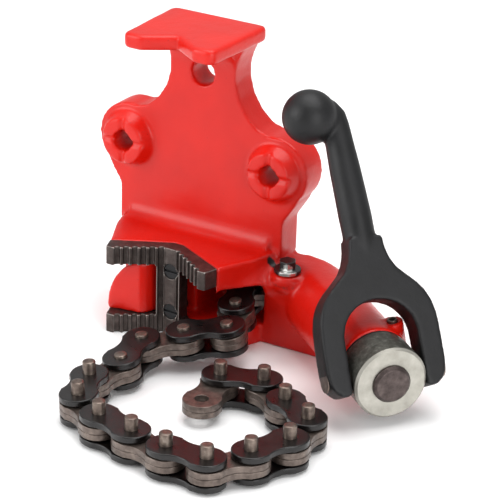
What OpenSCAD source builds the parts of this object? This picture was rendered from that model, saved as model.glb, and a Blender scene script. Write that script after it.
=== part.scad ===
// Chain pipe vise: cast frame with a V-jaw, a chain drawn up by a long nut, and a fork lever handle.
// Millimetres. +Z up, X along the back plate, plate front face at y = 0, frame's foot at z = 0.

/* [Frame casting] */
// Thickness of the back plate
plate_t = 16.9; // [14:0.1:20]
// Half width of the plate across the ears' centres
ear_x = 43.3; // [40:0.1:48]
// Height of the ears' centres
ear_z = 90.6; // [86:0.1:95]
// Radius of an ear
ear_r = 18.5; // [16:0.1:20]
// Diameter of the mounting hole in each ear
ear_hole_d = 11; // [9:0.5:13]
// How far an ear's boss stands off the plate
ear_boss_h = 7.9; // [5:0.1:9]
// Diameter of the hanging hole under the pipe rest
top_hole_d = 13.5; // [10:0.5:16]
// Height of the hanging hole
top_hole_z = 134.5; // [132:0.5:137]
// Top of the pipe rest
rest_z = 160.2; // [156:0.1:165]
// Thickness of the pipe rest
rest_t = 7.8; // [6:0.1:9]
// How far the pipe rest reaches in front of the plate
rest_reach = 33.8; // [30:0.1:38]
// Depth of the pipe rest's V notch
rest_notch = 10.4; // [8:0.1:12]
// Top of the arm that carries the barrel
arm_z = 42.5; // [41.5:0.1:44]

/* [V-jaw] */
// Height of the jaw block and of the V-jaw
jaw_z = 48.2; // [46:0.1:50]
// Height of each toothed arm of the V-jaw
jaw_arm_h = 10.2; // [9:0.1:11]
// Thickness of the V-jaw behind its teeth
jaw_t = 8; // [7:0.1:9]
// Half width of the V-jaw across its tips
jaw_half = 29.4; // [28:0.1:31]
// Spacing of the teeth along X, at least
tooth_pitch = 3.7; // [3.2:0.1:4.4]

/* [Screw, nut and barrel] */
// Diameter of the chain screw
screw_d = 19.05; // [18:0.05:20]
// Direction of the screw, in degrees to the right of straight forward
screw_yaw = 50; // [45:1:55]
// Outer radius of the drive nut
nut_r = 18.3; // [17.5:0.1:19]
// Visible length of the drive nut
nut_len = 19.5; // [17:0.1:22]
// Outer radius of the barrel
barrel_r = 18.7; // [18:0.1:19.5]

/* [Handle] */
// Lean of the lever from upright towards the frame, in degrees
lever_lean = 32.5; // [25:0.5:35]
// Length from the pivot to the lever's bend
lever_len = 130; // [115:1:140]
// Diameter of the lever's shank
shank_d = 13.5; // [12:0.1:15]
// Diameter of the ball at the lever's end
ball_d = 26; // [22:0.5:28]

/* [Chain] */
// Distance between neighbouring pins
pitch = 21.5; // [21:0.1:22.5]
// Thickness of an outer plate
outer_plate_t = 3.2; // [2.8:0.1:3.4]
// Thickness of one of the two inner plates
inner_plate_t = 3.3; // [3:0.1:3.5]
// Radius of a plate's round ends
link_end_r = 9.3; // [9:0.1:9.6]
// Diameter of the chain pins
pin_d = 6.4; // [6:0.1:6.6]
// How far an extended pin stands above its outer plate
pin_reach = 6.2; // [4:0.1:6.5]

/* [Hidden] */
$fn = 64;
eps = 0.01;
run_gap = 0.06;          // radial clearance of a turning fit
seat_gap = 0.05;         // clearance between still pieces that nest
link_gap = 0.7;          // play between an inner plate and an outer plate
pin_gap = 0.2;           // radial clearance of a chain pin in the inner plates
gap_lo = jaw_arm_h;      // the chain's space between the jaw arms
gap_hi = jaw_z - jaw_arm_h;
channel_hi = 34;         // roof of the chain's channel in the arm
screw_z = jaw_z / 2;     // height of the screw's axis
nut_face = [140.9, -54.4, screw_z];
pivot_back = 10;         // handle pivot, behind the nut's face
leg_gap = nut_r + 0.5;   // half distance between the fork's legs
barrel_len = 92;
bore_len = 82;
journal_r = 15;
journal_len = 24;
washer_t = 1.6;
rim = nut_len + washer_t / 2;      // barrel's rim, behind the nut's face
shoulder = nut_len - washer_t / 2;  // nut's shoulder
journal_bore_r = journal_r + run_gap;
bore_r = screw_d / 2 + 1;
roll_pin_d = 5;
roll_pin_off = 14.8;     // roll pin's axis, off the screw's axis
roll_pin_turn = 11;      // roll pin's tilt from upright
roll_pin_back = 8.5;     // roll pin, behind the barrel's rim
bolt_at = [55.5, -5];     // guide bolt on the arm
bolt_z = arm_z - 1.2;    // seat of the guide bolt
tang_t = 2 * inner_plate_t;
tang_eye = 90;           // chain eye, behind the nut's face
head_h = 1.3;            // flush pin head above its plate
rivet_h = 1.5;           // pin's riveted end below its plate
stack_half = inner_plate_t + link_gap + outer_plate_t;
tooth_cut = 1.35;         // half side of the square that cuts a tooth's flank
v_half = 2.95;           // flat at the bottom of the V
v_y = -27.7;
tip_y = -42.4;
tip_w = 4.1;

red = [0.85, 0.12, 0.09];
black_iron = [0.16, 0.16, 0.17];
jaw_steel = [0.38, 0.36, 0.35];
zinc = [0.74, 0.73, 0.7];
plate_black = [0.12, 0.11, 0.11];
plate_brown = [0.42, 0.37, 0.34];
pin_steel = [0.55, 0.5, 0.47];

// Chain, from the screw's eye to the free end: heading of each link in plan, in degrees.
headings = [178, 201, -71, -70, -151, -139.5, -85, -102.5, -70, -29.5,
            -12.5, -10, 1.5, 52.5, 65, 96.5, 149.5, 148, 199, 277];
// How far each link leans from upright, towards +X and +Y, in degrees; it lies flat from the floor on.
leans = [[-2.2, -0.8], [-4, -2.8], [-3.6, -5.3], [-4.6, -7.7], [-5.6, -7.5], [-5, -6.9], [-4.4, -4.9],
         [-3.4, -2.6], [-2.6, -0.9], [-0.6, -1], [0, -0.2], [0, 0], [0, 0], [0, 0],
         [0, 0], [0, 0], [0, 0], [0, 0], [0, 0], [0, 0]];

// Frame of the screw: x to the barrel's back right, y up, z outwards, origin on the nut's face.
module at_screw() {
  translate(nut_face) rotate([0, 0, screw_yaw]) rotate([90, 0, 0]) children();
}

// Frame of the lever: x along its pivot, z along the shank, origin on the pivot.
module at_lever() {
  at_screw() translate([0, 0, -pivot_back]) rotate([-90 - lever_lean, 0, 0]) children();
}

// A shape drawn in X and Z, given depth in Y from y0 to y1.
module upright(y0, y1) {
  translate([0, y1, 0]) rotate([90, 0, 0]) linear_extrude(y1 - y0) children();
}

module rod(r, z0, z1) {
  translate([0, 0, z0]) cylinder(r = r, h = z1 - z0);
}

// ---------- frame casting ----------

module plate_half() {
  polygon([[0, 0], [44, 0], [44, 20], [48.6, 45], [48.6, 64], [55, 74], [ear_x, ear_z],
           [50, 105.6], [33, 110.5], [26.5, 116], [21.5, 124], [19, 133], [19, 139], [20.5, 145],
           [25.5, rest_z - rest_t / 2], [0, rest_z - rest_t / 2]]);
  translate([ear_x, ear_z]) circle(ear_r);
}

module plate_outline() {
  offset(r = -6) offset(delta = 6) {
    plate_half();
    mirror([1, 0]) plate_half();
  }
}

module rest_outline() {
  offset(r = 4) offset(delta = -4)
    polygon([[-28, plate_t], [-26, -rest_reach], [-15, -rest_reach], [0, rest_notch - rest_reach],
             [15, -rest_reach], [26, -rest_reach], [28, plate_t]]);
}

// Pipe rest: a slab with its rim rounded in steps, and the fillet that carries it.
module pipe_rest() {
  // each slab: how far its rim is drawn in, and how far its faces are
  for (slab = [[1.4, 0], [0.4, 0.4], [0, 1.4]])
    translate([0, 0, rest_z - rest_t + slab[1]]) linear_extrude(rest_t - 2 * slab[1])
      offset(delta = -slab[0]) rest_outline();
  for (side = [-1, 1]) scale([side, 1, 1])
    translate([0, 0, rest_z - rest_t]) rotate([90, 0, 90]) linear_extrude(19)
      difference() {
        translate([-15, -15]) square([15 + eps, 15.5]);
        translate([-15, -15]) circle(15);
      }
}

module jaw_block_outline() {
  polygon([[-46, 1], [-45.2, -3.9], [-42, -13.8], [-32, -34.8], [-v_half, v_y + jaw_t],
           [v_half, v_y + jaw_t], [32, -34.8], [42, -13.8], [45.2, -3.9], [46, 1]]);
}

// Block behind the V-jaw, with the fillet that runs from its top up the plate.
module jaw_block() {
  linear_extrude(jaw_z) jaw_block_outline();
  translate([-42, 0, jaw_z - eps]) rotate([90, 0, 90]) linear_extrude(84)
    difference() {
      translate([-9, 0]) square(9 + eps);
      translate([-9, 9]) circle(9);
    }
}

// Web between the hooks on the left, its outer corner rounded off in a quarter ellipse.
module hook_web() {
  intersection() {
    translate([0, 0, gap_lo - eps]) linear_extrude(gap_hi - gap_lo + 2 * eps)
      polygon([[-34, -28], [-34, -34], [-32.5, -36], [-15, -33.4], [-12.5, -31.4], [-8, -22],
               [-8, -14], [-28, -14]]);
    upright(-40, -10) union() {
      translate([-13, gap_lo - 1]) scale([20.6, 29.6]) circle(1);
      translate([-13, 0]) square([12, 40]);
    }
  }
}

// Arm: a block in front of the barrel's crest, its top front edge rounded well over.
module arm() {
  round_r = 13;
  difference() {
    linear_extrude(arm_z)
      polygon([[38, plate_t], [38, -9.4], [77, -9.4], [84, -15], [86, -8], [72, 3.45], [56, plate_t]]);
    translate([30, -9.4, arm_z]) rotate([90, 0, 90]) linear_extrude(60)
      difference() {
        translate([-1, -round_r]) square([round_r + 1, round_r + 1]);
        translate([round_r, -round_r]) circle(round_r);
      }
  }
  translate([bolt_at[0], bolt_at[1]]) rod(8.2, gap_hi - 6, bolt_z);
  // fillet from the arm's top up the plate
  translate([40, 0, arm_z - eps]) rotate([90, 0, 90]) linear_extrude(7.5)
    difference() {
      translate([-7, 0]) square(7 + eps);
      translate([-7, 7]) circle(7);
    }
  // web that fills the corner between the jaw block and the arm
  hull() {
    translate([0, 0, 28]) linear_extrude(6)
      polygon([[32, -33], [36.5, -21], [41.5, -13.6], [51, -9.3], [51, 0], [32, 0]]);
    translate([0, 0, arm_z - 1]) linear_extrude(1)
      polygon([[33, -24], [38, -14], [44, -5], [52, 1], [33, 0]]);
  }
}

// Point in plan, a way back from the nut's face and off to the right of the screw.
function by_screw(back, side) =
  [nut_face[0] - back * sin(screw_yaw) + side * cos(screw_yaw),
   nut_face[1] + back * cos(screw_yaw) + side * sin(screw_yaw)];

// Barrel: it runs back through the arm into the plate, with a foot under its rear part.
module barrel() {
  foot_from = rim + 56;
  intersection() {
    at_screw() rod(barrel_r, -rim - barrel_len, -rim);
    translate([40, -100, 1]) cube([160, 100 + plate_t, 60]);
  }
  // the foot ends at the plate's back
  foot_to = (plate_t - by_screw(0, barrel_r)[1]) / cos(screw_yaw);
  linear_extrude(screw_z)
    polygon([[50, plate_t], [50, 0], [62, -8], by_screw(foot_from, -2), by_screw(foot_from, barrel_r),
             by_screw(foot_to, barrel_r)]);
  at_screw() rotate([0, 0, roll_pin_turn])
    translate([roll_pin_off, 0, -rim - roll_pin_back]) rotate([-90, 0, 0]) rod(5.2, 0, 15.5);
}

module ear_bosses() {
  for (x = [-ear_x, ear_x])
    translate([x, 1, ear_z]) rotate([90, 0, 0]) cylinder(r1 = 15.4, r2 = 12, h = ear_boss_h + 1);
}

// Space for the chain: from behind the right jaw arms, round the corner and along the arm to the screw.
module chain_channel() {
  translate([0, 0, gap_lo]) linear_extrude(channel_hi - gap_lo)
    polygon([[8, -60], [52, -60], [52, -15.5], [45.5, -12], [44.2, -8.6], [46, -7], [82, -7], [82, 10],
             [76, 20], [40, 20], [40, 10.5], [8, 10.5]]);
  translate([8, -60, gap_lo]) cube([23, 33, gap_hi - gap_lo]);
}

module jaw_screw_axes() {
  for (z = [jaw_arm_h + 2.6, jaw_z - jaw_arm_h - 2.6])
    translate([0, v_y, z]) rotate([-90, 0, 0]) children();
}

module body_casting() {
  color(red) difference() {
    union() {
      upright(0, plate_t) plate_outline();
      pipe_rest();
      ear_bosses();
      jaw_block();
      arm();
      barrel();
    }
    for (x = [-ear_x, ear_x]) {
      translate([x, 0, ear_z]) rotate([90, 0, 0]) cylinder(d = ear_hole_d, h = 60, center = true);
      translate([x, -ear_boss_h, ear_z]) cube([3.2, 3, 26], center = true);
      translate([x, -ear_boss_h, ear_z]) cube([26, 3, 3.2], center = true);
    }
    translate([0, 0, top_hole_z]) rotate([90, 0, 0]) cylinder(d = top_hole_d, h = 60, center = true);
    // space between the hooks on the left
    translate([0, 0, gap_lo]) linear_extrude(gap_hi - gap_lo)
      polygon([[-60, -60], [-60, 0], [-28, 0], [-28, -15], [9, -15], [9, -60]]);
    chain_channel();
    at_screw() {
      rod(journal_bore_r, -rim - journal_len - 0.4, 1);
      rod(bore_r, -rim - bore_len, 1);
      rotate([0, 0, roll_pin_turn])
        translate([roll_pin_off, 0, -rim - roll_pin_back]) rotate([-90, 0, 0])
          rod(roll_pin_d / 2, -16.3, 16.3);
    }
    jaw_screw_axes() rod(2.5, 0, jaw_t + 15);
    translate([bolt_at[0], bolt_at[1], 0]) {
      rod(3, channel_hi - 1, bolt_z + 1);
      rod(7.6, bolt_z, bolt_z + 14);
    }
  }
  color(red) hook_web();
}

// ---------- V-jaw and its screws ----------

module jaw_outline() {
  polygon([[-32, -34.8], [-jaw_half, tip_y], [-jaw_half + tip_w, tip_y], [-v_half, v_y], [v_half, v_y],
           [jaw_half - tip_w, tip_y], [jaw_half, tip_y], [32, -34.8], [v_half, v_y + jaw_t],
           [-v_half, v_y + jaw_t]]);
}

module v_jaw() {
  flank = [jaw_half - tip_w - v_half, tip_y - v_y];
  teeth = floor(flank[0] / tooth_pitch);
  tooth_step = flank / teeth;
  color(jaw_steel) difference() {
    translate([0, -seat_gap, 0]) linear_extrude(jaw_z) jaw_outline();
    // the arms are parted by the chain's gap, on both sides of the spine
    for (x = [-47, 7]) translate([x, -60, gap_lo - seat_gap]) cube([40, 60, gap_hi - gap_lo + 2 * seat_gap]);
    for (side = [-1, 1], i = [0 : teeth - 1])
      translate([side * (v_half + tooth_step[0] * (i + 0.5)), v_y + tooth_step[1] * (i + 0.5), -1])
        rotate(45) translate([-tooth_cut, -tooth_cut, 0])
          cube([2 * tooth_cut, 2 * tooth_cut, jaw_z + 2]);
    jaw_screw_axes() {
      rod(2.5 + seat_gap, -1, jaw_t + 5);
      rod(4.1 + seat_gap, -1, 3);
    }
  }
}

module jaw_screws() {
  color(black_iron) jaw_screw_axes() difference() {
    union() {
      rod(4.1, 0.6, 3 - seat_gap);
      rod(2.5 - seat_gap, 2, jaw_t + 13);
    }
    translate([-4.5, -0.6, 0.5]) cube([9, 1.2, 1.2]);
  }
}

// ---------- small pieces on the frame ----------

module guide_bolt() {
  color(black_iron) translate([bolt_at[0], bolt_at[1], 0]) {
    rod(6.9, bolt_z + eps, bolt_z + 2);
    translate([0, 0, bolt_z + 2]) cylinder(r = 4.6, h = 4.4, $fn = 6);
    rod(2.95, channel_hi + 0.2, bolt_z + 1);
  }
}

module nut_roll_pin() {
  color(pin_steel) at_screw() rotate([0, 0, roll_pin_turn])
    translate([roll_pin_off, 0, -rim - roll_pin_back]) rotate([-90, 0, 0])
      difference() {
        rod(roll_pin_d / 2 - 0.02, -14, 16.3);
        rod(1.5, -15, 17);
        translate([0, -0.4, -15]) cube([4, 0.8, 32]);
      }
}

module thrust_washer() {
  color(black_iron) at_screw() difference() {
    rod(barrel_r - 0.6, -rim + seat_gap, -shoulder - seat_gap);
    rod(journal_r + 0.3, -nut_len - 2, -nut_len + 2);
  }
}

// ---------- nut, screw and handle ----------

module drive_nut() {
  groove_r = roll_pin_off - roll_pin_d / 2 - 0.1;
  chamfer = 1.2;
  color(zinc) at_screw() difference() {
    union() {
      rod(nut_r, -shoulder, -chamfer);
      translate([0, 0, -chamfer]) cylinder(r1 = nut_r, r2 = nut_r - chamfer, h = chamfer);
      rod(journal_r, -rim - journal_len, -shoulder + 1);
    }
    rod(screw_d / 2 + run_gap, -60, 1);
    // groove that the roll pin runs in
    difference() {
      rod(nut_r + 2, -rim - roll_pin_back - 2.8, -rim - roll_pin_back + 2.8);
      rod(groove_r, -60, 0);
    }
    translate([0, 0, -pivot_back]) rotate([0, 90, 0]) {
      rod(4, -nut_r - 1, -screw_d / 2 - 2);
      rod(4, screw_d / 2 + 2, nut_r + 1);
    }
  }
}

module pivot_pins() {
  color(pin_steel) at_screw() translate([0, 0, -pivot_back])
    for (side = [0, 180]) rotate([0, 0, side]) rotate([0, 90, 0]) {
      rod(4 - 0.02, screw_d / 2 + 2.1, leg_gap + 10.4);
      rod(5.2, leg_gap + 10.4 + 0.2, leg_gap + 11.4);
      rod(3.9, leg_gap + 10, leg_gap + 11);
    }
}

module chain_screw() {
  chamfer = 1.5;
  tang_from = tang_eye - link_end_r - 4;
  color(pin_steel) at_screw() difference() {
    union() {
      rod(screw_d / 2, -tang_from, 2.5 - chamfer);
      translate([0, 0, 2.5 - chamfer])
        cylinder(r1 = screw_d / 2, r2 = screw_d / 2 - chamfer, h = chamfer);
      translate([-8.5, -tang_t / 2, -tang_eye]) cube([17, tang_t, tang_eye - tang_from + 6]);
      translate([0, 0, -tang_eye]) rotate([90, 0, 0]) cylinder(r = 8.5, h = tang_t, center = true);
    }
    translate([0, 0, -tang_eye]) rotate([90, 0, 0])
      cylinder(d = pin_d + 2 * pin_gap, h = 30, center = true);
  }
}

// Fork lever: two legs with eyes, an arch, the shank, and a ball set off to one side.
module handle() {
  leg_t = 10.5;
  eye_r = 8.5;
  arch_in = 36.6;
  crown = 58;
  ball_side = 18;
  color(black_iron) at_lever() difference() {
    union() {
      for (side = [-1, 1]) {
        translate([side * (leg_gap + leg_t / 2), 0, 0]) rotate([0, 90, 0])
          cylinder(r = eye_r, h = leg_t, center = true);
        translate([side * (leg_gap + leg_t / 2), 0, 0])
          translate([-leg_t / 2, -7, 0]) cube([leg_t, 14, 22]);
      }
      // arch over the nut, tapering up to the shank
      intersection() {
        upright(-7, 7) difference() {
          union() {
            polygon([[-leg_gap - leg_t, 20], [-25, 42], [-11, crown], [-6.5, crown + 9], [6.5, crown + 9],
                     [11, crown], [25, 42], [leg_gap + leg_t, 20]]);
          }
          translate([0, arch_in - leg_gap]) circle(leg_gap);
          translate([-leg_gap, 0]) square([2 * leg_gap, arch_in - leg_gap]);
        }
      }
      rod(shank_d / 2, crown - 4, lever_len);
      translate([0, 0, lever_len]) sphere(d = shank_d);
      translate([0, 0, lever_len]) rotate([0, -98, 0]) rod(shank_d / 2, 0, ball_side);
      translate([-ball_side, 0, lever_len - 3]) sphere(d = ball_d);
    }
    rotate([0, 90, 0]) cylinder(r = 4 + run_gap, h = 80, center = true);
  }
}

// ---------- chain ----------

// Pitch and roll of link i about its own heading, so that its pins lean by leans[i].
function dip(i) = leans[i][0] * cos(headings[i]) + leans[i][1] * sin(headings[i]);
function roll(i) = leans[i][0] * sin(headings[i]) - leans[i][1] * cos(headings[i]);
// Middle of pin i; pin 0 is the one in the screw's eye.
function eye_point() = nut_face - tang_eye * [sin(screw_yaw), -cos(screw_yaw), 0];
function step(i) = pitch * [cos(dip(i)) * cos(headings[i]), cos(dip(i)) * sin(headings[i]), -sin(dip(i))];
function pin_point(i) = i == 0 ? eye_point() : pin_point(i - 1) + step(i - 1);

// Frame of link i: x to the link's far pin, z along its pins.
module at_link(i) {
  translate(pin_point(i)) rotate([roll(i), dip(i), headings[i]]) children();
}

// Plate with round ends and a waist.
module link_shape() {
  waist = 2.1;
  difference() {
    union() {
      circle(link_end_r);
      translate([pitch, 0]) circle(link_end_r);
      translate([0, -link_end_r]) square([pitch, 2 * link_end_r]);
    }
    for (side = [-1, 1])
      translate([pitch / 2, side * (link_end_r - waist + 14)]) circle(14);
  }
}

module link_plate(z0, t, hole_r) {
  translate([0, 0, z0]) linear_extrude(t) difference() {
    link_shape();
    circle(hole_r);
    translate([pitch, 0]) circle(hole_r);
  }
}

module outer_plates(n) {
  color(plate_black) at_link(2 * n) {
    link_plate(stack_half - outer_plate_t, outer_plate_t, pin_d / 2);
    link_plate(-stack_half, outer_plate_t, pin_d / 2);
  }
}

// Two pins of an outer link; from the fourth link on they stand out, to hook on the frame.
module link_pins(n) {
  reach = n < 4 ? head_h : pin_reach;
  chamfer = 0.6;
  color(pin_steel) at_link(2 * n) for (x = [0, pitch]) translate([x, 0, 0]) {
    rod(pin_d / 2 - 0.01, -stack_half - rivet_h + chamfer, stack_half + reach - chamfer);
    translate([0, 0, stack_half + reach - chamfer])
      cylinder(r1 = pin_d / 2 - 0.01, r2 = pin_d / 2 - chamfer, h = chamfer);
    translate([0, 0, -stack_half - rivet_h])
      cylinder(r1 = pin_d / 2 - chamfer, r2 = pin_d / 2 - 0.01, h = chamfer);
  }
}

module inner_plates(n) {
  color(plate_brown) at_link(2 * n + 1) {
    link_plate(seat_gap / 2, inner_plate_t - seat_gap / 2, pin_d / 2 + pin_gap);
    link_plate(-inner_plate_t, inner_plate_t - seat_gap / 2, pin_d / 2 + pin_gap);
  }
}

body_casting();
v_jaw();
jaw_screws();
guide_bolt();
nut_roll_pin();
thrust_washer();
drive_nut();
chain_screw();
pivot_pins();
handle();
for (n = [0 : 9]) {
  outer_plates(n);
  link_pins(n);
  inner_plates(n);
}
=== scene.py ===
"""Studio picture of a chain pipe vise: enamelled casting, V-jaw, leaf chain, long nut and fork lever."""

import math

import bmesh
import bpy
import numpy as np
from mathutils import Matrix, Vector


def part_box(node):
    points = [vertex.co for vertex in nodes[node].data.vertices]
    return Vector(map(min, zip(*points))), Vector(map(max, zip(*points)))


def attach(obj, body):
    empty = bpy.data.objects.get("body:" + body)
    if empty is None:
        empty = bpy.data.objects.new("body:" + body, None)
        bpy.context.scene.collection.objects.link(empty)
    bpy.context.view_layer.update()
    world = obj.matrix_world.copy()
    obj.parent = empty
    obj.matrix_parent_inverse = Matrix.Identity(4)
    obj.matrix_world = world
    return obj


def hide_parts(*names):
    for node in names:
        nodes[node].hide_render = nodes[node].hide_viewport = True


MM = 0.001
# The screw points to the front right, square to the lever's pivot.
SCREW_YAW = math.radians(50)
SCREW_AHEAD = Vector((math.sin(SCREW_YAW), -math.cos(SCREW_YAW), 0))

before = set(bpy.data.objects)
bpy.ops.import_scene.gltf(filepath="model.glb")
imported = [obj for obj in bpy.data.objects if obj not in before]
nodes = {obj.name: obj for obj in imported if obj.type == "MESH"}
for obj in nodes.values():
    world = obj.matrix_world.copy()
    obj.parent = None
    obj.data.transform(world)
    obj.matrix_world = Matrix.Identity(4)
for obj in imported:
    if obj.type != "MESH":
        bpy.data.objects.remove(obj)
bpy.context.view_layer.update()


# ---------- colours and nodes ----------

def srgb(code):
    """Hex colour as linear RGBA."""
    values = [int(code[i:i + 2], 16) / 255 for i in (1, 3, 5)]
    linear = [v / 12.92 if v <= 0.04045 else ((v + 0.055) / 1.055) ** 2.4 for v in values]
    return (*linear, 1.0)


def add(tree, kind, settings=None, **inputs):
    """Adds a node with its properties (settings) and its sockets (inputs).

    A socket is named with underscores for spaces, or _N for the socket at place N.
    """
    node = tree.nodes.new(kind)
    for name, value in (settings or {}).items():
        setattr(node, name, value)
    for name, value in inputs.items():
        key = int(name[1:]) if name[0] == "_" else name.replace("_", " ")
        socket = node.inputs[key]
        if isinstance(value, bpy.types.NodeSocket):
            tree.links.new(value, socket)
        else:
            socket.default_value = value
    return node


def ramp(tree, factor, stops):
    """Colour ramp through (position, hex colour) stops."""
    node = add(tree, "ShaderNodeValToRGB", Fac=factor)
    elements = node.color_ramp.elements
    while len(elements) < len(stops):
        elements.new(0.5)
    for element, (position, code) in zip(elements, stops):
        element.position = position
        element.color = srgb(code)
    return node.outputs["Color"]


def grey_ramp(tree, factor, low, high, dark=0.0, light=1.0):
    """Maps factor from low..high to dark..light."""
    node = add(tree, "ShaderNodeMapRange", {"clamp": True}, Value=factor, From_Min=low, From_Max=high,
               To_Min=dark, To_Max=light)
    return node.outputs["Result"]


def noise(tree, place, size_mm, detail=3.0, roughness=0.5):
    """Noise whose blotches are about size_mm across."""
    node = add(tree, "ShaderNodeTexNoise", Vector=place, Scale=1 / (size_mm * MM), Detail=detail,
               Roughness=roughness)
    return node.outputs["Fac"]


def bump(tree, height, depth_mm, normal=None):
    """Normal of a height map depth_mm deep, laid over another normal if one is given."""
    inputs = {"Height": height, "Distance": depth_mm * MM, "Strength": 1.0}
    if normal is not None:
        inputs["Normal"] = normal
    return add(tree, "ShaderNodeBump", **inputs).outputs["Normal"]


def mix(tree, factor, a, b):
    """Colour a where factor is 0, b where it is 1."""
    node = add(tree, "ShaderNodeMix", {"data_type": "RGBA"}, _0=factor, _6=a, _7=b)
    return node.outputs[2]


def new_material(name):
    """An empty Principled material: (material, tree, shader, object coordinates)."""
    material = bpy.data.materials.new(name)
    material.use_nodes = True
    tree = material.node_tree
    shader = tree.nodes["Principled BSDF"]
    place = add(tree, "ShaderNodeTexCoord").outputs["Object"]
    return material, tree, shader, place


def enter(shader, **inputs):
    """Sets the shader's sockets, by value or by link."""
    for name, value in inputs.items():
        socket = shader.inputs[name.replace("_", " ")]
        if isinstance(value, bpy.types.NodeSocket):
            shader.id_data.links.new(value, socket)
        else:
            socket.default_value = value


# ---------- materials ----------

def red_enamel():
    """Stoving enamel on sand-cast iron: glossy, orange peel over the sand's grain, grease by the bolt."""
    material, tree, shader, place = new_material("red_enamel_on_cast_iron")
    tone = noise(tree, place, 28, 2)
    colour = ramp(tree, tone, [(0.3, "#C01004"), (0.7, "#CE1608")])
    speck = grey_ramp(tree, noise(tree, place, 1.1, 3, 0.65), 0.66, 0.74)
    colour = mix(tree, speck, colour, srgb("#9C0C04"))
    grease = grease_mask(tree, place)
    colour = mix(tree, grease, colour, srgb("#1E1412"))
    grain = noise(tree, place, 1.6, 4, 0.6)
    peel = noise(tree, place, 0.9, 1)
    swell = noise(tree, place, 9, 1)
    normal = bump(tree, grain, 0.10)
    normal = bump(tree, peel, 0.03, normal)
    normal = bump(tree, swell, 0.25, normal)
    rough = grey_ramp(tree, tone, 0.3, 0.7, 0.3, 0.38)
    enter(shader, Base_Color=colour, Roughness=rough, Normal=normal, IOR=1.38, Coat_Weight=0.08,
          Coat_Roughness=0.15)
    return material


def grease_mask(tree, place):
    """Grease out of the guide bolt's seat: a streak up the jaw block, smudges along the arm's top."""
    low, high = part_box("guide_bolt")
    bolt = (low + high) / 2
    # centre, off the bolt's middle, and radii of each spot, in mm
    spots = [((-9, 0, 3), (7, 2.2, 3.5)), ((10, 5, -4), (8, 2.5, 3)), ((0, 0, -5), (8.6, 8.6, 2.2))]
    total = None
    rag = noise(tree, place, 3.2, 4, 0.65)
    for off, radii in spots:
        moved = add(tree, "ShaderNodeVectorMath", {"operation": "SUBTRACT"}, _0=place,
                    _1=tuple(bolt + Vector(off) * MM))
        scaled = add(tree, "ShaderNodeVectorMath", {"operation": "DIVIDE"}, _0=moved.outputs[0],
                     _1=tuple(r * MM for r in radii))
        length = add(tree, "ShaderNodeVectorMath", {"operation": "LENGTH"}, _0=scaled.outputs[0])
        ragged = add(tree, "ShaderNodeMath", {"operation": "ADD"}, _0=length.outputs["Value"], _1=rag)
        spot = grey_ramp(tree, ragged.outputs[0], 1.2, 1.5, 1.0, 0.0)
        if total is None:
            total = spot
        else:
            total = add(tree, "ShaderNodeMath", {"operation": "MAXIMUM"}, _0=total, _1=spot).outputs[0]
    return total


def greasy_bolt():
    """Zinc-plated flange bolt under black grease, wiped bare along the flange's front rim."""
    material, tree, shader, place = new_material("greased_zinc_bolt")
    low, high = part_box("guide_bolt")
    head_height = 4.4 * MM
    rim = (low.x * 0.25 + high.x * 0.75, low.y + 0.9 * MM, high.z - head_height)
    away = add(tree, "ShaderNodeVectorMath", {"operation": "DISTANCE"}, _0=place, _1=rim).outputs["Value"]
    ragged = add(tree, "ShaderNodeMath", {"operation": "MULTIPLY_ADD"}, _0=noise(tree, place, 1.8, 3, 0.6),
                 _1=3 * MM, _2=away).outputs[0]
    bare = grey_ramp(tree, ragged, 5.4 * MM, 6.4 * MM, 1.0, 0.0)
    colour = mix(tree, bare, srgb("#121112"), srgb("#C9CBC8"))
    normal = bump(tree, noise(tree, place, 2.2, 2, 0.5), 0.1)
    enter(shader, Base_Color=colour, Metallic=bare, Roughness=0.3, Normal=normal)
    return material


def jaw_steel():
    """Hardened tool steel, ground then oil quenched: brown-grey, with grinding lines across the faces."""
    material, tree, shader, place = new_material("hardened_jaw_steel")
    tone = noise(tree, place, 5, 4, 0.6)
    colour = ramp(tree, tone, [(0.25, "#372F2C"), (0.55, "#4E4643"), (0.8, "#6C6460")])
    lines = add(tree, "ShaderNodeMapping", Vector=place, Scale=(1, 1, 0.06))
    scratch = noise(tree, lines.outputs[0], 0.5, 3, 0.7)
    # Colour by curvature: pale grey along the sharp crests, near black down in the hollows between the
    # teeth.
    curvature = add(tree, "ShaderNodeNewGeometry").outputs["Pointiness"]
    colour = mix(tree, grey_ramp(tree, curvature, 0.53, 0.59), colour, srgb("#BDB6B0"))
    colour = mix(tree, grey_ramp(tree, curvature, 0.47, 0.40), colour, srgb("#171312"))
    normal = bump(tree, scratch, 0.03)
    normal = bump(tree, noise(tree, place, 0.8, 3), 0.03, normal)
    enter(shader, Base_Color=colour, Metallic=0.85, Roughness=grey_ramp(tree, tone, 0.2, 0.8, 0.5, 0.34),
          Normal=normal)
    return material


def black_forging():
    """Drop-forged steel with black oxide: satin black over fine scale."""
    material, tree, shader, place = new_material("black_oxide_forging")
    tone = noise(tree, place, 12, 4, 0.6)
    colour = ramp(tree, tone, [(0.3, "#101011"), (0.7, "#18181A")])
    normal = bump(tree, noise(tree, place, 1.3, 4, 0.65), 0.07)
    normal = bump(tree, noise(tree, place, 11, 2), 0.25, normal)
    enter(shader, Base_Color=colour, Metallic=0.35, Roughness=grey_ramp(tree, tone, 0.3, 0.7, 0.42, 0.54),
          Normal=normal)
    return material


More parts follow.
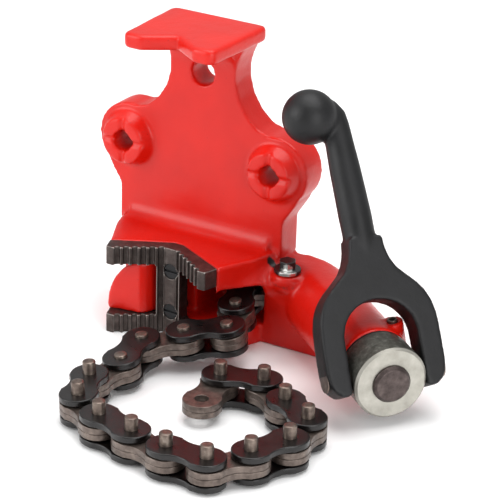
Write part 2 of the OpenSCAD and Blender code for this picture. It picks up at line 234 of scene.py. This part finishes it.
def zinc_plate():
    """Turned steel with dull zinc: pale warm grey on the faced end, darker and mottled round the side."""
    material, tree, shader, place = new_material("zinc_plated_turned_steel")
    tone = noise(tree, place, 7, 4, 0.6)
    pale = ramp(tree, tone, [(0.25, "#9C9990"), (0.6, "#B2AFA6"), (0.85, "#C2BFB7")])
    mottle = noise(tree, place, 2.6, 4, 0.7)
    dull = ramp(tree, mottle, [(0.3, "#57564F"), (0.55, "#75746D"), (0.8, "#A3A19A")])
    turned = add(tree, "ShaderNodeVectorMath", {"operation": "DOT_PRODUCT"},
                 _0=add(tree, "ShaderNodeNewGeometry").outputs["Normal"],
                 _1=tuple(SCREW_AHEAD)).outputs["Value"]
    colour = mix(tree, grey_ramp(tree, turned, 0.5, 0.65), dull, pale)
    normal = bump(tree, noise(tree, place, 0.7, 3, 0.6), 0.02)
    enter(shader, Base_Color=colour, Metallic=0.9, Roughness=grey_ramp(tree, tone, 0.2, 0.8, 0.46, 0.34),
          Normal=normal)
    return material


def chain_black():
    """Punched plates, blacked and oiled: near black with a deep gloss and a warm oil film."""
    material, tree, shader, place = new_material("oiled_black_link_plate")
    tone = noise(tree, place, 6, 3, 0.6)
    colour = ramp(tree, tone, [(0.3, "#080606"), (0.7, "#110D0D")])
    normal = bump(tree, noise(tree, place, 1.5, 3, 0.6), 0.03)
    enter(shader, Base_Color=colour, Metallic=0.3, Roughness=grey_ramp(tree, tone, 0.3, 0.7, 0.26, 0.4),
          Normal=normal, Coat_Weight=0.25, Coat_Roughness=0.15)
    return material


def chain_brown():
    """Heat-treated inner plates: brown-grey steel under oil, with sheared edges."""
    material, tree, shader, place = new_material("heat_treated_link_plate")
    tone = noise(tree, place, 4, 4, 0.6)
    colour = ramp(tree, tone, [(0.25, "#453B36"), (0.55, "#6B5F58"), (0.85, "#8A7D74")])
    shear = add(tree, "ShaderNodeMapping", Vector=place, Scale=(1, 1, 0.12))
    normal = bump(tree, noise(tree, shear.outputs[0], 0.6, 3, 0.7), 0.04)
    enter(shader, Base_Color=colour, Metallic=0.75, Roughness=grey_ramp(tree, tone, 0.25, 0.85, 0.45, 0.3),
          Normal=normal, Coat_Weight=0.2, Coat_Roughness=0.2)
    return material


def turned_steel(name, *colours):
    """Turned stock, warm grey, with a temper stain."""
    material, tree, shader, place = new_material(name)
    tone = noise(tree, place, 3.5, 3, 0.6)
    colour = ramp(tree, tone, list(zip((0.25, 0.55, 0.85), colours)))
    normal = bump(tree, noise(tree, place, 0.6, 3, 0.6), 0.02)
    enter(shader, Base_Color=colour, Metallic=0.85, Roughness=grey_ramp(tree, tone, 0.2, 0.8, 0.42, 0.3),
          Normal=normal)
    return material


RED = red_enamel()
JAW = jaw_steel()
FORGED = black_forging()
ZINC = zinc_plate()
GREASED = greasy_bolt()
PLATE_BLACK = chain_black()
PLATE_BROWN = chain_brown()
PIN = turned_steel("turned_pin_steel", "#524643", "#75685F", "#978D84")
SCREW = turned_steel("oiled_screw_end", "#3F3735", "#554B49", "#6B605C")


# ---------- mesh helpers ----------

def place_piece(mesh, name, material, body, node):
    """Makes a finished piece, in a node's stead, from a mesh that is already in the frame."""
    piece = bpy.data.objects.new(name, mesh)
    bpy.context.scene.collection.objects.link(piece)
    mesh.materials.clear()
    mesh.materials.append(material)
    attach(piece, body)
    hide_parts(node)


def opened(mesh):
    """The mesh as a bmesh."""
    work = bmesh.new()
    work.from_mesh(mesh)
    return work


def closed(work, mesh):
    """The bmesh written back to a mesh, smooth shaded."""
    work.to_mesh(mesh)
    work.free()
    return smooth_shaded(mesh)


def merged_copy(node):
    """Mesh of a CAD node with its loose triangles joined."""
    mesh = nodes[node].data.copy()
    work = opened(mesh)
    bmesh.ops.remove_doubles(work, verts=work.verts, dist=0.002 * MM)
    return closed(work, mesh)


def finished(mesh, *modifiers):
    """Mesh after the modifiers, each (type, settings)."""
    helper = bpy.data.objects.new("helper", mesh)
    bpy.context.scene.collection.objects.link(helper)
    for kind, settings in modifiers:
        modifier = helper.modifiers.new(kind, kind)
        for name, value in settings.items():
            setattr(modifier, name, value)
    evaluated = helper.evaluated_get(bpy.context.evaluated_depsgraph_get())
    result = bpy.data.meshes.new_from_object(evaluated)
    bpy.data.objects.remove(helper)
    return result


def smooth_shaded(mesh):
    """The mesh with all its faces shaded smooth."""
    mesh.polygons.foreach_set("use_smooth", [True] * len(mesh.polygons))
    return mesh


def run_round(mesh, grain_mm, passes):
    """The mesh as a foundry or forge would leave it: every edge and corner run round."""
    mesh = finished(mesh,
                    ("REMESH", {"mode": "VOXEL", "voxel_size": grain_mm * MM, "use_smooth_shade": True}),
                    ("SMOOTH", {"factor": 0.5, "iterations": passes}))
    return smooth_shaded(mesh)


def crisp(mesh, sharp_angle):
    """The mesh with flat faces shaded flat, and edges over an angle in degrees kept sharp."""
    mesh.set_sharp_from_angle(angle=math.radians(sharp_angle))
    return finished(mesh, ("WEIGHTED_NORMAL", {"keep_sharp": True, "weight": 100}))


def cast_copy(node, grain_mm, passes):
    return run_round(merged_copy(node), grain_mm, passes)


def eased_copy(node, width_mm):
    """A machined CAD node with its edges eased."""
    mesh = merged_copy(node)
    work = opened(mesh)
    bmesh.ops.dissolve_limit(work, angle_limit=math.radians(1.5), verts=work.verts, edges=work.edges)
    mesh = closed(work, mesh)
    mesh = finished(mesh, ("BEVEL", {"width": width_mm * MM, "segments": 2, "limit_method": "ANGLE",
                                     "angle_limit": math.radians(28), "harden_normals": False}))
    return crisp(smooth_shaded(mesh), 38)


# ---------- fork lever ----------

PIVOT = Vector((133.24, -47.97, 24.1)) * MM
LEVER_LEAN = math.radians(32.5)

# Half of the fork's outline in the lever's frame: mm off its middle and up from the pivot.
FORK_OUTSIDE = [(8.4, 66), (9, 60), (10.4, 55), (13.2, 50), (17.4, 46), (22, 41.8), (25.8, 37.2),
                (28.4, 31.8), (29.7, 26), (30.2, 19.5), (30.3, 10), (30.3, 3), (29.6, -2), (27.6, -6),
                (24.6, -8.4), (21, -8.8)]
FORK_INSIDE = [(18.8, -7.4), (18.7, 14), (18.5, 20), (16.8, 25.6), (13.6, 30), (9.6, 33), (5, 34.8),
               (0, 35.4)]
# Stations of the shank's middle line, with its radius, up to the ball.
SHANK = [(0, 52, 6.6), (-0.6, 64, 7.9), (-1.1, 77, 8.1), (-2.3, 100, 7.6), (-2.9, 112, 7.0),
         (-3.4, 121, 6.7), (-4.2, 125.6, 6.7), (-6.4, 128.6, 6.7), (-10.5, 130, 6.6), (-14, 129.4, 6.5)]
SHANK_SIDES = 32
BALL = (-15.9, 127.2)
BALL_R = 13.5
FORK_HALF_T = 7.2


def lever_matrix():
    """Lever's frame: X along its pivot, Z along the shank."""
    along = Vector((math.cos(SCREW_YAW), math.sin(SCREW_YAW), 0))
    shank = math.cos(LEVER_LEAN) * Vector((0, 0, 1)) - math.sin(LEVER_LEAN) * SCREW_AHEAD
    matrix = Matrix((along, shank.cross(along), shank)).transposed().to_4x4()
    matrix.translation = PIVOT
    return matrix


def skin(work, rings, sides):
    """Joins neighbouring rings of as many points with faces."""
    for low, high in zip(rings, rings[1:]):
        for k in range(sides):
            n = (k + 1) % sides
            # a ring that is one point, as at a pin's end, gives triangles
            work.faces.new(list(dict.fromkeys((low[k], low[n], high[n], high[k]))))


def tube(work, path):
    """Closed tube in the X-Z plane along (x, z, radius) stations in mm."""
    rings = []
    for k, (x, z, radius) in enumerate(path):
        before, after = path[max(k - 1, 0)], path[min(k + 1, len(path) - 1)]
        ahead = Vector((after[0] - before[0], 0, after[1] - before[1])).normalized()
        across = Vector((ahead.z, 0, -ahead.x))
        ring = []
        for j in range(SHANK_SIDES):
            turn = math.tau * j / SHANK_SIDES
            spoke = math.cos(turn) * across + math.sin(turn) * Vector((0, 1, 0))
            ring.append(work.verts.new((Vector((x, 0, z)) + radius * spoke) * MM))
        rings.append(ring)
    skin(work, rings, SHANK_SIDES)
    work.faces.new(rings[0][::-1])
    work.faces.new(rings[-1])


def fork_lever():
    """Drop forging: fork, tapering shank and ball, run together by remeshing and smoothing."""
    half = FORK_OUTSIDE + FORK_INSIDE
    outline = half + [(-x, z) for x, z in half[-2::-1]]
    work = bmesh.new()
    front, rear = ([work.verts.new(Vector((x, y, z)) * MM) for x, z in outline]
                   for y in (-FORK_HALF_T, FORK_HALF_T))
    work.faces.new(front)
    work.faces.new(rear[::-1])
    skin(work, (rear, front), len(outline))
    tube(work, SHANK)
    bmesh.ops.create_uvsphere(work, u_segments=48, v_segments=32, radius=BALL_R * MM,
                              matrix=Matrix.Translation(Vector((BALL[0], 0, BALL[1])) * MM))
    bmesh.ops.recalc_face_normals(work, faces=work.faces)
    bmesh.ops.triangulate(work, faces=work.faces)
    bmesh.ops.transform(work, matrix=lever_matrix(), verts=work.verts)
    return run_round(closed(work, bpy.data.meshes.new("fork_lever")), 0.7, 22)


# ---------- casting, jaw, nut and lever ----------

# Box, in mm, in which the casting is smoothed further, and how many passes that takes.
BLEND_LOW = Vector((31, -34, 27)) * MM
BLEND_HIGH = Vector((84, 12, 46)) * MM
BLEND_PASSES = 26


def casting():
    """The casting, with the web and the bolt's pad run into the arm in a moulder's fillets."""
    mesh = cast_copy("body_casting", 0.95, 7)
    work = opened(mesh)
    blend = [v for v in work.verts if all(a < c < b for a, c, b in zip(BLEND_LOW, v.co, BLEND_HIGH))]
    for _ in range(BLEND_PASSES):
        bmesh.ops.smooth_vert(work, verts=blend, factor=0.5,
                              use_axis_x=True, use_axis_y=True, use_axis_z=True)
    return closed(work, mesh)


place_piece(casting(), "casting", RED, "frame", "body_casting")
place_piece(cast_copy("v_jaw", 0.4, 3), "toothed_jaw", JAW, "frame", "v_jaw")
# machined pieces: node, width of its eased edges in mm, name, material, body, slot
for node, eased, name, material, body, slot in (
        ("jaw_screws", 0.2, "jaw_screw_pair", FORGED, "frame", "black_forging"),
        ("guide_bolt", 0.4, "greasy_bolt", GREASED, "frame", "black_forging"),
        ("nut_roll_pin", 0.15, "slotted_pin", PIN, "frame", "pin_steel"),
        ("thrust_washer", 0.15, "washer", FORGED, "frame", "black_forging"),
        ("drive_nut", 0.25, "long_nut", ZINC, "nut", "zinc_plate"),
        ("pivot_pins", 0.3, "lever_pins", PIN, "nut", "pin_steel"),
        ("chain_screw", 0.3, "screw", SCREW, "screw", "pin_steel")):
    place_piece(eased_copy(node, eased), name, material, body, node)
place_piece(fork_lever(), "fork_lever", FORGED, "lever", "handle")

# ---------- chain ----------

# Sizes of the links, in mm: spacing of the pins, radius of a plate's ends, depth and radius of its waist,
# the plates' thicknesses, half the height of a link over its outer plates, and the pins.
PITCH = 21.5
END_R = 9.3
WAIST = 2.1
WAIST_R = 14
OUTER_T = 3.2
INNER_T = 3.3
INNER_SPLIT = 0.03
STACK_HALF = 7.2
PIN_R = 3.2
PIN_PLAY = 0.2
RIVET_H = 1.4
FLUSH_H = 1.3
HOOK_H = 6.2
PIN_SIDES = 32
FIRST_LONG_PIN = 4
LINK_PAIRS = 10
# Heading of each link in plan, and how its pins lean towards +X and +Y, in degrees.
HEADINGS = [178, 201, -71, -70, -151, -139.5, -85, -102.5, -70, -29.5,
            -12.5, -10, 1.5, 52.5, 65, 96.5, 149.5, 148, 199, 277]
LEANS = [(-2.2, -0.8), (-4, -2.8), (-3.6, -5.3), (-4.6, -7.7), (-5.6, -7.5), (-5, -6.9), (-4.4, -4.9),
         (-3.4, -2.6), (-2.6, -0.9), (-0.6, -1), (0, -0.2)] + [(0, 0)] * 9
SCREW_EYE_BACK = 90
NUT_FACE = Vector((140.9, -54.4, 24.1))


def link_frames():
    """Place (mm) and turn (radians) of each link, from the screw's eye to the free end."""
    frames = []
    place = NUT_FACE - SCREW_EYE_BACK * SCREW_AHEAD
    for heading, (lean_x, lean_y) in zip(HEADINGS, LEANS):
        h = math.radians(heading)
        dip = math.radians(lean_x * math.cos(h) + lean_y * math.sin(h))
        roll = math.radians(lean_x * math.sin(h) - lean_y * math.cos(h))
        frames.append((place.copy(), (roll, dip, h)))
        place += PITCH * Vector((math.cos(dip) * math.cos(h), math.cos(dip) * math.sin(h),
                                 -math.sin(dip)))
    return frames


def circle(radius):
    return [(radius * math.cos(a), radius * math.sin(a))
            for a in np.linspace(0, math.tau, PIN_SIDES + 1)[:-1]]


def plate_outline(inset):
    """Waisted outline with round ends, counter-clockwise, drawn in by inset."""
    centre_y = END_R - WAIST + WAIST_R
    half_arc = math.acos((WAIST_R - WAIST) / WAIST_R)
    end = [(-math.sin(a), math.cos(a)) for a in np.linspace(0, math.pi, 25)]
    waist = [(math.sin(a), -math.cos(a)) for a in np.linspace(-half_arc, half_arc, 9)]
    left = [((END_R - inset) * x, (END_R - inset) * y) for x, y in end]
    low = [(PITCH / 2 + (WAIST_R + inset) * x, -centre_y - (WAIST_R + inset) * y) for x, y in waist]
    right = [(PITCH - x, -y) for x, y in left]
    high = [(PITCH - x, -y) for x, y in low]
    return left + low + right + high


def link_plate(thick, edge, hole_r):
    """One punched plate from z = 0 up, with rolled edges, and its two holes countersunk a touch."""
    work = bmesh.new()
    steps = [(edge * (1 - math.sin(a)), edge * (1 - math.cos(a)))
             for a in np.linspace(0, math.pi / 2, 5)]
    levels = steps + [(inset, thick - z) for inset, z in reversed(steps)]

    def ring(points, z):
        return [work.verts.new(Vector((x, y, z)) * MM) for x, y in points]

    outer = [ring(plate_outline(inset), z) for inset, z in levels]
    skin(work, outer, len(outer[0]))
    under, over = [outer[0]], [outer[-1]]
    lip = 0.25
    for x in (0, PITCH):
        rims = [ring([(x + a, b) for a, b in circle(hole_r + grow)], z)
                for grow, z in ((lip, 0), (0, lip), (0, thick - lip), (lip, thick))]
        skin(work, rims, PIN_SIDES)
        under.append(rims[0])
        over.append(rims[-1])
    for rings in (under, over):
        edges = [work.edges.get((r[k], r[(k + 1) % len(r)])) for r in rings for k in range(len(r))]
        bmesh.ops.triangle_fill(work, use_beauty=True, use_dissolve=False, edges=edges)
    bmesh.ops.recalc_face_normals(work, faces=work.faces)
    return crisp(closed(work, bpy.data.meshes.new("link_plate")), 50)


def chain_pin(low, high, chamfer):
    """Pin between two heights, with chamfered ends and a shallow turning mark on top."""
    profile = [(0, low), (PIN_R - chamfer, low), (PIN_R, low + chamfer), (PIN_R, high - chamfer),
               (PIN_R - 0.25 * chamfer, high - 0.3 * chamfer), (PIN_R - chamfer, high),
               (1.2, high + 0.05), (0, high - 0.12)]
    work = bmesh.new()
    rings = []
    for radius, z in profile:
        if radius == 0:
            rings.append([work.verts.new((0, 0, z * MM))] * PIN_SIDES)
        else:
            rings.append([work.verts.new(Vector((x, y, z)) * MM) for x, y in circle(radius)])
    skin(work, rings, PIN_SIDES)
    mesh = closed(work, bpy.data.meshes.new("chain_pin"))
    mesh.set_sharp_from_angle(angle=math.radians(35))
    return mesh


def row_tree():
    """Geometry Nodes tree: copies of its own mesh in a row, placed and turned as one link of the chain."""
    tree = bpy.data.node_groups.new("row_on_a_link", "GeometryNodeTree")
    sockets = {}
    for name, kind in (("Geometry", "NodeSocketGeometry"), ("Count", "NodeSocketInt"),
                       ("Start", "NodeSocketVector"), ("Step", "NodeSocketVector"),
                       ("Place", "NodeSocketVector"), ("Turn", "NodeSocketRotation"),
                       ("Material", "NodeSocketMaterial")):
        sockets[name] = tree.interface.new_socket(name, in_out="INPUT", socket_type=kind).identifier
    tree.interface.new_socket("Geometry", in_out="OUTPUT", socket_type="NodeSocketGeometry")
    given = add(tree, "NodeGroupInput").outputs
    line = add(tree, "GeometryNodeMeshLine", Count=given["Count"], Start_Location=given["Start"],
               Offset=given["Step"])
    copies = add(tree, "GeometryNodeInstanceOnPoints", Points=line.outputs["Mesh"],
                 Instance=given["Geometry"])
    placed = add(tree, "GeometryNodeTransform", Geometry=copies.outputs["Instances"],
                 Translation=given["Place"], Rotation=given["Turn"])
    real = add(tree, "GeometryNodeRealizeInstances", Geometry=placed.outputs["Geometry"])
    dressed = add(tree, "GeometryNodeSetMaterial", Geometry=real.outputs["Geometry"],
                  Material=given["Material"])
    add(tree, "NodeGroupOutput", Geometry=dressed.outputs["Geometry"])
    return tree, sockets


ROW, ROW_SOCKETS = row_tree()


def pair_on_link(template, frame_of_link, start, step, material):
    """Mesh of two of the template, step apart on a link, in the shared frame."""
    helper = bpy.data.objects.new("row_helper", template)
    bpy.context.scene.collection.objects.link(helper)
    modifier = helper.modifiers.new("row", "NODES")
    modifier.node_group = ROW
    place, turn = frame_of_link
    for name, value in (("Count", 2), ("Start", [v * MM for v in start]), ("Step", [v * MM for v in step]),
                        ("Place", list(place * MM)), ("Turn", list(turn)), ("Material", material)):
        modifier[ROW_SOCKETS[name]] = value
    evaluated = helper.evaluated_get(bpy.context.evaluated_depsgraph_get())
    mesh = bpy.data.meshes.new_from_object(evaluated)
    bpy.data.objects.remove(helper)
    return mesh


outer_plate = link_plate(OUTER_T, 0.55, PIN_R)
inner_plate = link_plate(INNER_T - INNER_SPLIT, 0.4, PIN_R + PIN_PLAY)
flush_pin = chain_pin(-STACK_HALF - RIVET_H, STACK_HALF + FLUSH_H, 0.5)
long_pin = chain_pin(-STACK_HALF - RIVET_H, STACK_HALF + HOOK_H, 0.8)
places = link_frames()
for k in range(LINK_PAIRS):
    pin = long_pin if k >= FIRST_LONG_PIN else flush_pin
    # name, link, template, where the first one starts, step to the second, material, slot, node
    for name, i, template, start, step, material, slot, node in (
            ("side_plates", 2 * k, outer_plate, (0, 0, -STACK_HALF), (0, 0, 2 * STACK_HALF - OUTER_T),
             PLATE_BLACK, "chain_black", "outer_plates"),
            ("pins", 2 * k, pin, (0, 0, 0), (PITCH, 0, 0), PIN, "pin_steel", "link_pins"),
            ("middle_plates", 2 * k + 1, inner_plate, (0, 0, -INNER_T), (0, 0, INNER_T + INNER_SPLIT),
             PLATE_BROWN, "chain_brown", "inner_plates")):
        mesh = pair_on_link(template, places[i], start, step, material)
        place_piece(mesh, f"{name}_{k}", material, f"chain_link_{i:02d}", f"{node}_{k}")


# ---------- floor, light and camera ----------

def studio():
    """White floor, three soft boxes, and a room that the camera sees as white."""
    floor_mesh = bpy.data.meshes.new("floor")
    half = 3.0
    floor_mesh.from_pydata([(-half, -half, 0), (half, -half, 0), (half, half, 0), (-half, half, 0)], [],
                           [(0, 1, 2, 3)])
    floor = bpy.data.objects.new("floor", floor_mesh)
    bpy.context.scene.collection.objects.link(floor)
    material, tree, shader, place = new_material("white_sweep")
    enter(shader, Base_Color=srgb("#FAFAFA"), Roughness=0.9, Specular_IOR_Level=0.1)
    floor_mesh.materials.append(material)

    def softbox(name, at, aim, size, watts):
        light = bpy.data.lights.new(name, "AREA")
        light.shape = "RECTANGLE"
        light.size, light.size_y = size
        light.energy = watts
        lamp = bpy.data.objects.new(name, light)
        bpy.context.scene.collection.objects.link(lamp)
        lamp.location = at
        lamp.rotation_euler = (Vector(aim) - Vector(at)).to_track_quat("-Z", "Y").to_euler()

    softbox("top_box", (0.1, 0.1, 1.3), (0.05, -0.05, 0.05), (1.4, 1.0), 16)
    softbox("left_front_box", (-0.9, -1.1, 0.7), (0.03, -0.03, 0.07), (1.0, 1.0), 14)
    softbox("right_box", (1.2, -0.7, 0.45), (0.05, -0.03, 0.04), (0.7, 1.0), 8)

    world = bpy.data.worlds.new("white_room")
    bpy.context.scene.world = world
    world.use_nodes = True
    tree = world.node_tree
    tree.nodes.clear()
    seen = add(tree, "ShaderNodeLightPath").outputs["Is Camera Ray"]
    fill = add(tree, "ShaderNodeBackground", Color=(1, 1, 1, 1), Strength=0.55)
    white = add(tree, "ShaderNodeBackground", Color=(1, 1, 1, 1), Strength=1.0)
    both = add(tree, "ShaderNodeMixShader", _0=seen, _1=fill.outputs[0], _2=white.outputs[0])
    add(tree, "ShaderNodeOutputWorld", Surface=both.outputs[0])
    bpy.context.scene.view_settings.view_transform = "Standard"


def photo_camera():
    """Long lens, 24 degrees above the horizon and 30 degrees to the right, rolled slightly."""
    azimuth, elevation, roll = math.radians(29.92), math.radians(24.3), math.radians(1.69)
    right = Vector((math.cos(azimuth), math.sin(azimuth), 0))
    back = Vector((math.sin(azimuth) * math.cos(elevation), -math.cos(azimuth) * math.cos(elevation),
                   math.sin(elevation)))
    up = back.cross(right)
    turned_right = math.cos(roll) * right + math.sin(roll) * up
    turned_up = math.cos(roll) * up - math.sin(roll) * right
    camera = bpy.data.objects.new("camera", bpy.data.cameras.new("camera"))
    bpy.context.scene.collection.objects.link(camera)
    camera.data.sensor_width = 36
    camera.data.lens = 158.4
    matrix = Matrix((turned_right, turned_up, back)).transposed().to_4x4()
    matrix.translation = Vector((0.5413, -0.8876, 0.5074))
    camera.matrix_world = matrix
    bpy.context.scene.camera = camera


studio()
photo_camera()
